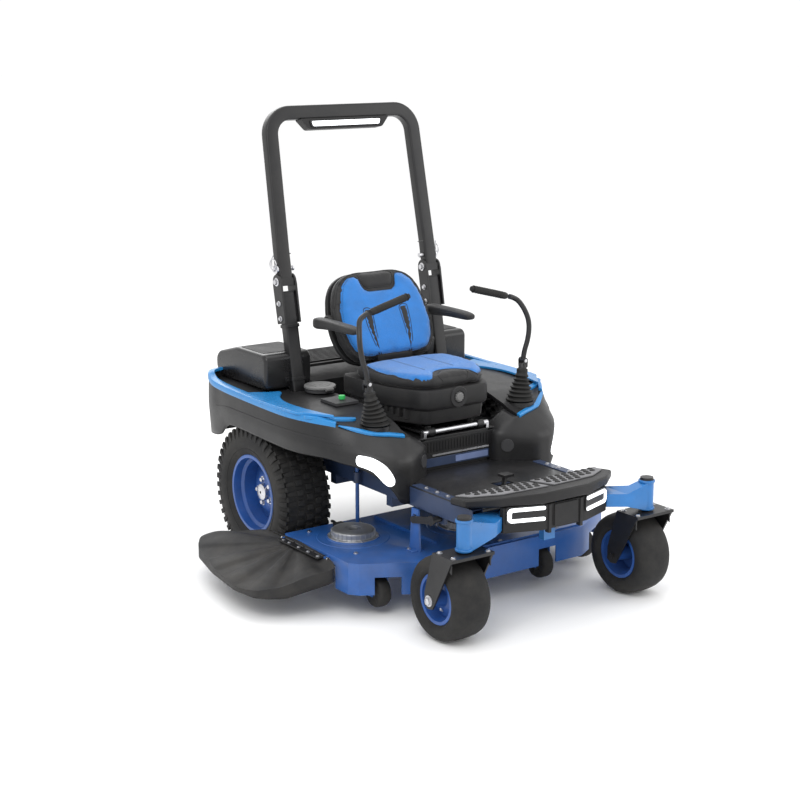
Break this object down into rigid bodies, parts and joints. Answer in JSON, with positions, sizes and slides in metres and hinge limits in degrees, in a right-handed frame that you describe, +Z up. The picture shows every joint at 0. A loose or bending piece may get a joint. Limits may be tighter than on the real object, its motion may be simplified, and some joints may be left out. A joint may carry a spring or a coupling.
{
  "type": "riding lawn mower",
  "caption": "Battery zero-turn riding mower with side-discharge deck, front casters, seat, steering levers and folding roll-over hoop.",
  "frame": {"origin": "centre of the whole bounding box's footprint, on the ground", "axes": "+Z up, the mower faces -Y, its left side at +X; the chassis centre plane is at x = 0.1675"},
  "size_m": [1.635, 1.835, 1.9028],
  "materials": {
    "painted_blue": "semi-gloss powder coat",
    "trim_blue": "satin moulded plastic",
    "body_black": "fine grained moulded plastic",
    "steel_black": "textured powder coat",
    "chute_black": "worn moulded rubberised plastic",
    "boot_rubber": "ribbed rubber",
    "tread_pad": "dotted anti-slip rubber",
    "tyre": "black rubber",
    "roller": "hard black plastic",
    "seat_fabric": "blue and black upholstery with stitched seams",
    "seat_plastic": "moulded plastic",
    "bright_steel": "zinc plated",
    "motor_metal": "cast and machined",
    "battery_case": "moulded case",
    "lens_white": "clear diffuser, white lamp",
    "grey_plastic": "moulded plastic",
    "knob_green": "moulded plastic"
  },
  "bodies": {
    "chassis": {"main_frame": "painted_blue", "front_axle": "painted_blue", "floor_pan": "steel_black", "foot_platform": "body_black", "tread_pads": "tread_pad", "front_bumper": "body_black", "front_lights": "lens_white", "pod_panels": "body_black", "pod_tops": "body_black", "pod_trims": "trim_blue", "rear_boxes": "body_black", "rear_grille": "body_black", "battery_housing": "body_black", "battery_packs": "battery_case", "drive_motors": "motor_metal", "seat_console": "steel_black", "pivot_pins": "bright_steel", "hitch_bracket": "steel_black", "control_fittings": "grey_plastic", "rops_posts": "steel_black"},
    "hoop": {"rops_hoop": "steel_black", "rops_lock_pins": "bright_steel", "light_bar": "steel_black", "light_bar_lens": "lens_white"},
    "seat_base": {"seat_plate": "steel_black"},
    "seat": {"seat_housing": "seat_plastic", "seat_cushion": "seat_fabric", "back_shell": "seat_plastic", "back_cushion": "seat_fabric"},
    "weight_dial": {"weight_knob": "seat_plastic"},
    "arm_left": {"armrest_left": "body_black"},
    "arm_right": {"armrest_right": "body_black"},
    "lever_carrier_left": {"lever_boot_left": "boot_rubber"},
    "lever_carrier_right": {"lever_boot_right": "boot_rubber"},
    "lever_left": {"control_lever_left": "steel_black"},
    "lever_right": {"control_lever_right": "steel_black"},
    "fork_left": {"caster_fork_left": "steel_black"},
    "fork_right": {"caster_fork_right": "steel_black"},
    "caster_wheel_left": {"caster_tyre_left": "tyre", "caster_rim_left": "painted_blue"},
    "caster_wheel_right": {"caster_tyre_right": "tyre", "caster_rim_right": "painted_blue"},
    "rear_wheel_left": {"rear_tyre_left": "tyre", "rear_rim_left": "painted_blue"},
    "rear_wheel_right": {"rear_tyre_right": "tyre", "rear_rim_right": "painted_blue"},
    "deck": {"deck_shell": "painted_blue", "deck_pins": "bright_steel", "deck_motors": "motor_metal"},
    "lift": {"lift_shaft": "steel_black"},
    "chute": {"discharge_chute": "chute_black"},
    "blade_left": {"blade_left": "bright_steel"},
    "blade_centre": {"blade_centre": "bright_steel"},
    "blade_right": {"blade_right": "bright_steel"},
    "roller_outer_left": {"roller_outer_left": "roller"},
    "roller_inner_left": {"roller_inner_left": "roller"},
    "roller_inner_right": {"roller_inner_right": "roller"},
    "roller_outer_right": {"roller_outer_right": "roller"},
    "charge_lid": {"charge_cover": "grey_plastic"},
    "pto": {"pto_knob": "knob_green"}
  },
  "joints": [
    {"name": "rops_fold", "type": "hinge", "parent": "chassis", "child": "hoop", "pos_m": [0.1675, 0.51504, 1.17645], "axis": [-1, 0, 0], "range_deg": [0, 95]},
    {"name": "seat_tip", "type": "hinge", "parent": "chassis", "child": "seat_base", "pos_m": [0.1675, -0.1825, 0.626], "axis": [1, 0, 0], "range_deg": [0, 20]},
    {"name": "seat_slide", "type": "slide", "parent": "seat_base", "child": "seat", "axis": [0, -1, 0], "range_m": [-0.03, 0.03]},
    {"name": "weight_setting", "type": "hinge", "parent": "seat", "child": "weight_dial", "pos_m": [0.1675, -0.2025, 0.761], "axis": [0, -1, 0], "range_deg": [-150, 150]},
    {"name": "armrest_left", "type": "hinge", "parent": "seat", "child": "arm_left", "pos_m": [0.4525, 0.3775, 1.01], "axis": [-1, 0, 0], "range_deg": [0, 80]},
    {"name": "lever_drive_left", "type": "hinge", "parent": "chassis", "child": "lever_carrier_left", "pos_m": [0.5395, -0.1445, 0.716], "axis": [1, 0, 0], "range_deg": [-10, 18]},
    {"name": "lever_swing_left", "type": "hinge", "parent": "lever_carrier_left", "child": "lever_left", "pos_m": [0.5655, -0.1305, 0.852], "axis": [0, 1, 0], "range_deg": [0, 35]},
    {"name": "caster_swivel_left", "type": "hinge", "parent": "chassis", "child": "fork_left", "pos_m": [0.6225, -0.8345, 0.42], "axis": [0, 0, 1], "continuous": true},
    {"name": "caster_roll_left", "type": "hinge", "parent": "fork_left", "child": "caster_wheel_left", "pos_m": [0.6225, -0.7525, 0.165], "axis": [1, 0, 0], "continuous": true},
    {"name": "drive_wheel_left", "type": "hinge", "parent": "chassis", "child": "rear_wheel_left", "pos_m": [0.6825, 0.4175, 0.305], "axis": [1, 0, 0], "continuous": true},
    {"name": "armrest_right", "type": "hinge", "parent": "seat", "child": "arm_right", "pos_m": [-0.1175, 0.3775, 1.01], "axis": [-1, 0, 0], "range_deg": [0, 80]},
    {"name": "lever_drive_right", "type": "hinge", "parent": "chassis", "child": "lever_carrier_right", "pos_m": [-0.2045, -0.1445, 0.716], "axis": [1, 0, 0], "range_deg": [-10, 18]},
    {"name": "lever_swing_right", "type": "hinge", "parent": "lever_carrier_right", "child": "lever_right", "pos_m": [-0.2305, -0.1305, 0.852], "axis": [0, -1, 0], "range_deg": [0, 35]},
    {"name": "caster_swivel_right", "type": "hinge", "parent": "chassis", "child": "fork_right", "pos_m": [-0.2875, -0.8345, 0.42], "axis": [0, 0, 1], "continuous": true},
    {"name": "caster_roll_right", "type": "hinge", "parent": "fork_right", "child": "caster_wheel_right", "pos_m": [-0.2875, -0.7525, 0.165], "axis": [1, 0, 0], "continuous": true},
    {"name": "drive_wheel_right", "type": "hinge", "parent": "chassis", "child": "rear_wheel_right", "pos_m": [-0.3475, 0.4175, 0.305], "axis": [1, 0, 0], "continuous": true},
    {"name": "deck_lift", "type": "slide", "parent": "chassis", "child": "deck", "axis": [0, 0, 1], "range_m": [0, 0.05]},
    {"name": "lift_pedal", "type": "hinge", "parent": "chassis", "child": "lift", "pos_m": [0.1675, -0.5025, 0.375], "axis": [1, 0, 0], "range_deg": [0, 24.2]},
    {"name": "chute_lift", "type": "hinge", "parent": "deck", "child": "chute", "pos_m": [-0.4965, -0.0825, 0.206], "axis": [0, 1, 0], "range_deg": [0, 60]},
    {"name": "blade_spin_right", "type": "hinge", "parent": "deck", "child": "blade_right", "pos_m": [-0.2845, -0.1025, 0.129], "axis": [0, 0, 1], "continuous": true},
    {"name": "blade_spin_centre", "type": "hinge", "parent": "deck", "child": "blade_centre", "pos_m": [0.1675, -0.2375, 0.129], "axis": [0, 0, 1], "continuous": true},
    {"name": "blade_spin_left", "type": "hinge", "parent": "deck", "child": "blade_left", "pos_m": [0.6195, -0.1025, 0.129], "axis": [0, 0, 1], "continuous": true},
    {"name": "roller_spin_outer_right", "type": "hinge", "parent": "deck", "child": "roller_outer_right", "pos_m": [-0.3575, -0.3825, 0.09], "axis": [1, 0, 0], "continuous": true},
    {"name": "roller_spin_inner_right", "type": "hinge", "parent": "deck", "child": "roller_inner_right", "pos_m": [-0.0445, -0.4825, 0.09], "axis": [1, 0, 0], "continuous": true},
    {"name": "roller_spin_inner_left", "type": "hinge", "parent": "deck", "child": "roller_inner_left", "pos_m": [0.3795, -0.4825, 0.09], "axis": [1, 0, 0], "continuous": true},
    {"name": "roller_spin_outer_left", "type": "hinge", "parent": "deck", "child": "roller_outer_left", "pos_m": [0.6925, -0.3825, 0.09], "axis": [1, 0, 0], "continuous": true},
    {"name": "charge_cover_open", "type": "hinge", "parent": "chassis", "child": "charge_lid", "pos_m": [-0.1545, 0.2635, 0.746], "axis": [1, 0, 0], "range_deg": [0, 100]},
    {"name": "pto_pull", "type": "slide", "parent": "chassis", "child": "pto", "axis": [0, 0, 1], "range_m": [0, 0.01]}
  ],
  "couplings": [
    {"joint": "lift_pedal", "follows": "deck_lift", "rad_per_m": 8.3776}
  ]
}
